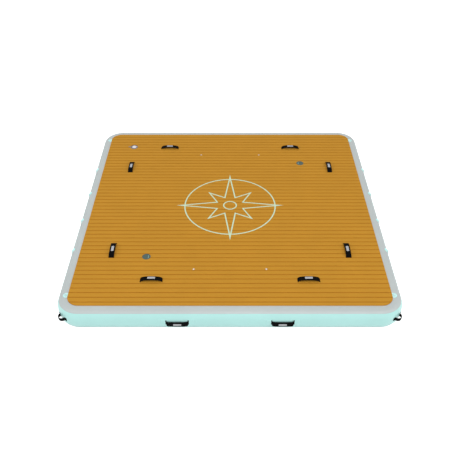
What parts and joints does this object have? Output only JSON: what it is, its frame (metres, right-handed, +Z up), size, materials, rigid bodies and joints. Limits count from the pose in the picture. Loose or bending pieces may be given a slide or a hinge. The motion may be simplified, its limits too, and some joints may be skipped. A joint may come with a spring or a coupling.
{
  "type": "inflatable dock platform",
  "caption": "Square inflatable drop-stitch dock platform with a grooved foam deck, webbing handles, tie rings, cup magnets and an air valve.",
  "frame": {"origin": "middle of the underside, on the surface that the platform lies on", "axes": "+Z up; the front edge faces -Y and the valve is near the back left corner, at -X +Y"},
  "size_m": [3.048, 3.093, 0.2342],
  "materials": {
    "aqua_pvc": "satin",
    "grey_pvc": "satin",
    "mint_pvc": "satin",
    "white_fabric": "matte",
    "deck_foam": "matte",
    "black_webbing": "matte",
    "polished_steel": "polished",
    "teal_plastic": "satin",
    "dark_grey_plastic": "satin",
    "pale_plastic": "satin",
    "black_rubber": "matte"
  },
  "bodies": {
    "platform": {"drop_stitch_core": "white_fabric", "top_skin": "grey_pvc", "bottom_skin": "grey_pvc", "side_wall": "aqua_pvc", "top_rail_band": "grey_pvc", "bottom_rail_band": "grey_pvc", "deck_pad": "deck_foam", "deck_handle_front_left": "black_webbing", "side_handle_front_left": "black_webbing", "wall_handle_front_left": "black_webbing", "corner_handle_front_left": "black_webbing", "deck_handle_front_right": "black_webbing", "side_handle_front_right": "black_webbing", "wall_handle_front_right": "black_webbing", "corner_handle_front_right": "black_webbing", "deck_handle_back_left": "black_webbing", "side_handle_back_left": "black_webbing", "wall_handle_back_left": "black_webbing", "corner_handle_back_left": "black_webbing", "deck_handle_back_right": "black_webbing", "side_handle_back_right": "black_webbing", "wall_handle_back_right": "black_webbing", "corner_handle_back_right": "black_webbing", "ring_patch_corner_front_left": "mint_pvc", "ring_patch_corner_front_right": "mint_pvc", "ring_patch_corner_back_left": "mint_pvc", "ring_patch_corner_back_right": "mint_pvc", "ring_patch_side_left_1": "mint_pvc", "ring_patch_side_left_2": "mint_pvc", "ring_patch_side_left_3": "mint_pvc", "ring_patch_side_left_4": "mint_pvc", "ring_patch_side_right_1": "mint_pvc", "ring_patch_side_right_2": "mint_pvc", "ring_patch_side_right_3": "mint_pvc", "ring_patch_side_right_4": "mint_pvc", "cup_mount_front_left": "teal_plastic", "cup_mount_back_right": "teal_plastic", "magnet_front_left": "polished_steel", "magnet_back_right": "polished_steel", "accessory_insert_front_left": "pale_plastic", "accessory_insert_front_right": "pale_plastic", "accessory_insert_back_left": "pale_plastic", "accessory_insert_back_right": "pale_plastic", "valve_body": "dark_grey_plastic", "valve_nut": "dark_grey_plastic", "valve_spring": "polished_steel"},
    "tie_ring_corner_front_left": {"tie_ring_corner_front_left": "polished_steel"},
    "tie_ring_corner_front_right": {"tie_ring_corner_front_right": "polished_steel"},
    "tie_ring_corner_back_left": {"tie_ring_corner_back_left": "polished_steel"},
    "tie_ring_corner_back_right": {"tie_ring_corner_back_right": "polished_steel"},
    "tie_ring_side_left_1": {"tie_ring_side_left_1": "polished_steel"},
    "tie_ring_side_left_2": {"tie_ring_side_left_2": "polished_steel"},
    "tie_ring_side_left_3": {"tie_ring_side_left_3": "polished_steel"},
    "tie_ring_side_left_4": {"tie_ring_side_left_4": "polished_steel"},
    "tie_ring_side_right_1": {"tie_ring_side_right_1": "polished_steel"},
    "tie_ring_side_right_2": {"tie_ring_side_right_2": "polished_steel"},
    "tie_ring_side_right_3": {"tie_ring_side_right_3": "polished_steel"},
    "tie_ring_side_right_4": {"tie_ring_side_right_4": "polished_steel"},
    "valve_stem": {"valve_stem": "black_rubber"},
    "valve_cap": {"valve_cap": "pale_plastic"}
  },
  "joints": [
    {"name": "corner_front_left_ring_swing", "type": "hinge", "parent": "platform", "child": "tie_ring_corner_front_left", "pos_m": [-1.44, -1.302, 0.2073], "axis": [0, 1, 0], "range_deg": [0, 150]},
    {"name": "corner_front_right_ring_swing", "type": "hinge", "parent": "platform", "child": "tie_ring_corner_front_right", "pos_m": [1.44, -1.302, 0.2073], "axis": [0, -1, 0], "range_deg": [0, 150]},
    {"name": "corner_back_left_ring_swing", "type": "hinge", "parent": "platform", "child": "tie_ring_corner_back_left", "pos_m": [-1.44, 1.302, 0.2073], "axis": [0, 1, 0], "range_deg": [0, 150]},
    {"name": "corner_back_right_ring_swing", "type": "hinge", "parent": "platform", "child": "tie_ring_corner_back_right", "pos_m": [1.44, 1.302, 0.2073], "axis": [0, -1, 0], "range_deg": [0, 150]},
    {"name": "side_left_1_ring_swing", "type": "hinge", "parent": "platform", "child": "tie_ring_side_left_1", "pos_m": [-1.51065, -0.687, 0.18745], "axis": [0, 1, 0], "range_deg": [0, 165]},
    {"name": "side_left_2_ring_swing", "type": "hinge", "parent": "platform", "child": "tie_ring_side_left_2", "pos_m": [-1.51065, -0.229, 0.18745], "axis": [0, 1, 0], "range_deg": [0, 165]},
    {"name": "side_left_3_ring_swing", "type": "hinge", "parent": "platform", "child": "tie_ring_side_left_3", "pos_m": [-1.51065, 0.229, 0.18745], "axis": [0, 1, 0], "range_deg": [0, 165]},
    {"name": "side_left_4_ring_swing", "type": "hinge", "parent": "platform", "child": "tie_ring_side_left_4", "pos_m": [-1.51065, 0.687, 0.18745], "axis": [0, 1, 0], "range_deg": [0, 165]},
    {"name": "side_right_1_ring_swing", "type": "hinge", "parent": "platform", "child": "tie_ring_side_right_1", "pos_m": [1.51065, -0.687, 0.18745], "axis": [0, -1, 0], "range_deg": [0, 165]},
    {"name": "side_right_2_ring_swing", "type": "hinge", "parent": "platform", "child": "tie_ring_side_right_2", "pos_m": [1.51065, -0.229, 0.18745], "axis": [0, -1, 0], "range_deg": [0, 165]},
    {"name": "side_right_3_ring_swing", "type": "hinge", "parent": "platform", "child": "tie_ring_side_right_3", "pos_m": [1.51065, 0.229, 0.18745], "axis": [0, -1, 0], "range_deg": [0, 165]},
    {"name": "side_right_4_ring_swing", "type": "hinge", "parent": "platform", "child": "tie_ring_side_right_4", "pos_m": [1.51065, 0.687, 0.18745], "axis": [0, -1, 0], "range_deg": [0, 165]},
    {"name": "valve_press", "type": "slide", "parent": "platform", "child": "valve_stem", "axis": [0, 0, -1], "range_m": [0, 0.004], "stiffness_N_per_m": 800, "springref_m": -0.002, "deforming": ["valve_spring"]},
    {"name": "valve_cap_lift", "type": "hinge", "parent": "platform", "child": "valve_cap", "pos_m": [-1.105, 1.146, 0.2098], "axis": [0, 1, 0], "range_deg": [0, 155]}
  ]
}
